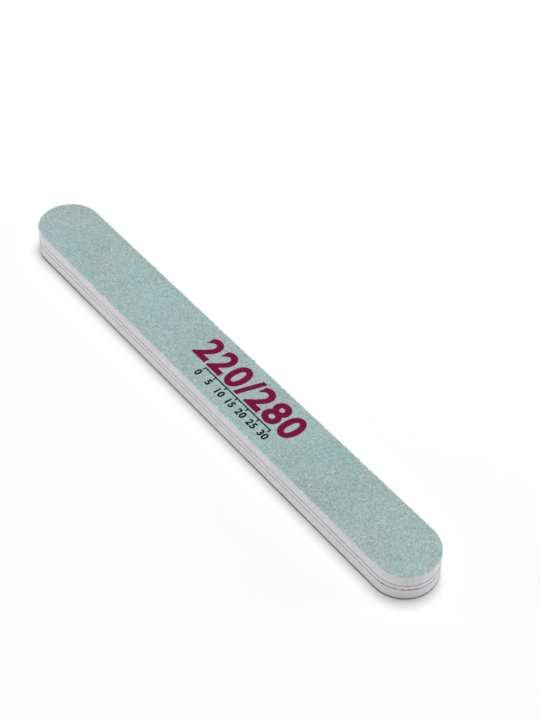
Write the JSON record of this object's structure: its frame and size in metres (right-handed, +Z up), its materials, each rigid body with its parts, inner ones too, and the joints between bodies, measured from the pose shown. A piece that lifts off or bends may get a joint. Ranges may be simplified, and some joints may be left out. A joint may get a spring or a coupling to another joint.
{
  "type": "nail buffer",
  "caption": "Straight foam-cored nail buffer bar with round ends, a mint abrasive face on one side and a fine dark grey abrasive face on the other.",
  "frame": {"origin": "middle of the underside (the outer face of the grey grit coat), on the surface that the bar lies on", "axes": "+X along the bar's length, +Y across its width, +Z up through the layers towards the mint face"},
  "size_m": [0.178, 0.0198, 0.0096],
  "materials": {
    "mint_grit": "matte",
    "mint_paper": "matte",
    "grey_grit": "matte",
    "grey_paper": "matte",
    "foam": "matte",
    "core": "satin",
    "adhesive": "satin"
  },
  "bodies": {
    "root": {"grey_grit_coat": "grey_grit", "grey_backing_paper": "grey_paper", "grey_sheet_adhesive": "adhesive", "lower_foam_pad": "foam", "lower_core_adhesive": "adhesive", "core_board": "core", "upper_core_adhesive": "adhesive", "upper_foam_pad": "foam", "mint_sheet_adhesive": "adhesive", "mint_backing_paper": "mint_paper", "mint_grit_coat": "mint_grit"}
  },
  "joints": []
}
